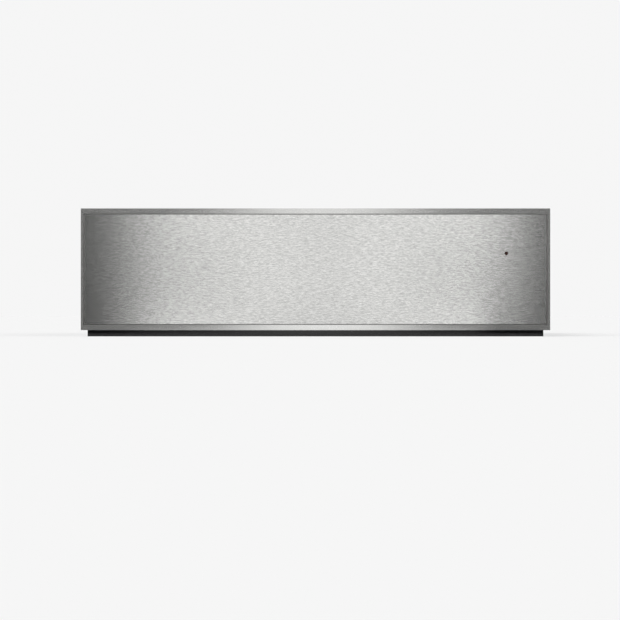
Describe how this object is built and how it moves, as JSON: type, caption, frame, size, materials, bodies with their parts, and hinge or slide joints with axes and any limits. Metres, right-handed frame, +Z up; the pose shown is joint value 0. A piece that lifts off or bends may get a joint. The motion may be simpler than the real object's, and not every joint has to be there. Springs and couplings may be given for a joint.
{
  "type": "built-in warming drawer",
  "caption": "Built-in push-to-open warming drawer with a brushed steel front, telescopic ball slides, warm air fan, heating ring and a folding cable arm.",
  "frame": {"origin": "under the middle of the whole appliance, on the shelf that it stands on", "axes": "+Z up, +X to the right across the front, +Y from the front to the back, so that the front faces -Y"},
  "size_m": [0.59, 0.57, 0.161],
  "materials": {
    "galvanised_sheet": "galvanised steel sheet, dull spangle",
    "dark_coated_sheet": "dark powder-coated steel, satin",
    "brushed_stainless": "stainless steel, brushed along its width",
    "satin_stainless": "stainless steel, fine satin",
    "zinc_plated_steel": "zinc-plated steel, bright",
    "screw_steel": "plated steel",
    "brass_cage": "brass strip with steel balls",
    "black_polyamide": "black moulded polyamide",
    "white_acetal": "off-white moulded plastic",
    "grey_acetal": "dark grey acetal",
    "silicone_wire": "silicone-sheathed wiring, red-brown",
    "fibre_board": "pressed mineral fibre",
    "black_rubber": "black rubber",
    "red_lens": "dark red-brown translucent plastic",
    "circuit_board": "green circuit board",
    "console_plastic": "black moulded plastic, fine texture",
    "toughened_glass": "toughened glass, satin underside",
    "heater_steel": "oxidised heating-rod sheath",
    "laminated_iron": "varnished motor laminations",
    "copper_winding": "taped copper winding",
    "die_cast_alloy": "aluminium alloy",
    "ceramic_case": "cream ceramic-filled case"
  },
  "bodies": {
    "housing": {"base_tray": "galvanised_sheet", "left_side_wall": "galvanised_sheet", "right_side_wall": "galvanised_sheet", "top_cover": "galvanised_sheet", "rear_wall": "galvanised_sheet", "front_sill": "dark_coated_sheet", "cable_gland": "black_polyamide", "terminal_block": "white_acetal", "supply_cable": "silicone_wire", "arm_base_pivot": "zinc_plated_steel", "left_latch_body": "white_acetal", "right_latch_body": "white_acetal", "left_slide_cabinet_rail": "zinc_plated_steel", "right_slide_cabinet_rail": "zinc_plated_steel", "housing_screws": "screw_steel", "cabinet_rail_screws": "screw_steel"},
    "left_middle_rail": {"left_slide_middle_rail": "zinc_plated_steel"},
    "right_middle_rail": {"right_slide_middle_rail": "zinc_plated_steel"},
    "left_outer_balls": {"left_outer_ball_cage": "brass_cage"},
    "right_outer_balls": {"right_outer_ball_cage": "brass_cage"},
    "left_inner_balls": {"left_inner_ball_cage": "brass_cage"},
    "right_inner_balls": {"right_inner_ball_cage": "brass_cage"},
    "latch_plungers": {"left_latch_plunger": "grey_acetal", "right_latch_plunger": "grey_acetal"},
    "rear_arm": {"rear_cable_arm": "zinc_plated_steel", "rear_arm_cable": "silicone_wire"},
    "front_arm": {"front_cable_arm": "zinc_plated_steel", "front_arm_cable": "silicone_wire"},
    "drawer": {"front_surround": "brushed_stainless", "face_plate": "brushed_stainless", "front_core": "fibre_board", "front_back_panel": "galvanised_sheet", "front_buffers": "black_rubber", "indicator_lens": "red_lens", "indicator_board": "circuit_board", "front_angles": "galvanised_sheet", "selector_console": "console_plastic", "selector_switch": "white_acetal", "drawer_tray": "satin_stainless", "glass_base": "toughened_glass", "glass_pads": "black_rubber", "floor_insulation": "fibre_board", "drawer_undertray": "galvanised_sheet", "left_side_plate": "galvanised_sheet", "right_side_plate": "galvanised_sheet", "left_slide_drawer_rail": "zinc_plated_steel", "right_slide_drawer_rail": "zinc_plated_steel", "drawer_rail_screws": "screw_steel", "air_grille": "satin_stainless", "air_chamber": "galvanised_sheet", "heating_element": "heater_steel", "motor_core": "laminated_iron", "motor_coil": "copper_winding", "motor_brackets": "die_cast_alloy", "thermostats": "ceramic_case", "drawer_cable": "silicone_wire"},
    "selector": {"selector_knob": "console_plastic", "selector_spindle": "screw_steel"},
    "fan": {"fan_wheel": "die_cast_alloy", "motor_rotor": "laminated_iron"}
  },
  "joints": [
    {"name": "push_stroke", "type": "slide", "parent": "housing", "child": "latch_plungers", "axis": [0, 1, 0], "range_m": [0, 0.003], "stiffness_N_per_m": 1500, "springref_m": -0.004},
    {"name": "drawer_slide", "type": "slide", "parent": "latch_plungers", "child": "drawer", "axis": [0, -1, 0], "range_m": [0, 0.44]},
    {"name": "left_middle_slide", "type": "slide", "parent": "housing", "child": "left_middle_rail", "axis": [0, -1, 0], "range_m": [0, 0.22]},
    {"name": "right_middle_slide", "type": "slide", "parent": "housing", "child": "right_middle_rail", "axis": [0, -1, 0], "range_m": [0, 0.22]},
    {"name": "left_outer_cage_slide", "type": "slide", "parent": "housing", "child": "left_outer_balls", "axis": [0, -1, 0], "range_m": [0, 0.11]},
    {"name": "right_outer_cage_slide", "type": "slide", "parent": "housing", "child": "right_outer_balls", "axis": [0, -1, 0], "range_m": [0, 0.11]},
    {"name": "left_inner_cage_slide", "type": "slide", "parent": "housing", "child": "left_inner_balls", "axis": [0, -1, 0], "range_m": [0, 0.33]},
    {"name": "right_inner_cage_slide", "type": "slide", "parent": "housing", "child": "right_inner_balls", "axis": [0, -1, 0], "range_m": [0, 0.33]},
    {"name": "rear_arm_pivot", "type": "hinge", "parent": "housing", "child": "rear_arm", "pos_m": [-0.19, 0.27, 0.003], "axis": [0, 0, -1], "range_deg": [0, 32]},
    {"name": "front_arm_pivot", "type": "hinge", "parent": "rear_arm", "child": "front_arm", "pos_m": [0.22942, 0.24802, 0.0099], "axis": [0, 0, 1], "range_deg": [0, 64]},
    {"name": "selector_turn", "type": "hinge", "parent": "drawer", "child": "selector", "pos_m": [0.19, -0.24525, 0.12], "axis": [0, 0, -1], "range_deg": [0, 240]},
    {"name": "fan_spin", "type": "hinge", "parent": "drawer", "child": "fan", "pos_m": [0, 0.23, 0.08], "axis": [0, 1, 0], "continuous": true}
  ],
  "couplings": [
    {"joint": "left_middle_slide", "follows": "drawer_slide", "ratio": 0.5},
    {"joint": "right_middle_slide", "follows": "drawer_slide", "ratio": 0.5},
    {"joint": "left_outer_cage_slide", "follows": "drawer_slide", "ratio": 0.25},
    {"joint": "right_outer_cage_slide", "follows": "drawer_slide", "ratio": 0.25},
    {"joint": "left_inner_cage_slide", "follows": "drawer_slide", "ratio": 0.75},
    {"joint": "right_inner_cage_slide", "follows": "drawer_slide", "ratio": 0.75},
    {"joint": "rear_arm_pivot", "follows": "drawer_slide", "rad_per_m": 1.255},
    {"joint": "front_arm_pivot", "follows": "drawer_slide", "rad_per_m": 2.51}
  ]
}
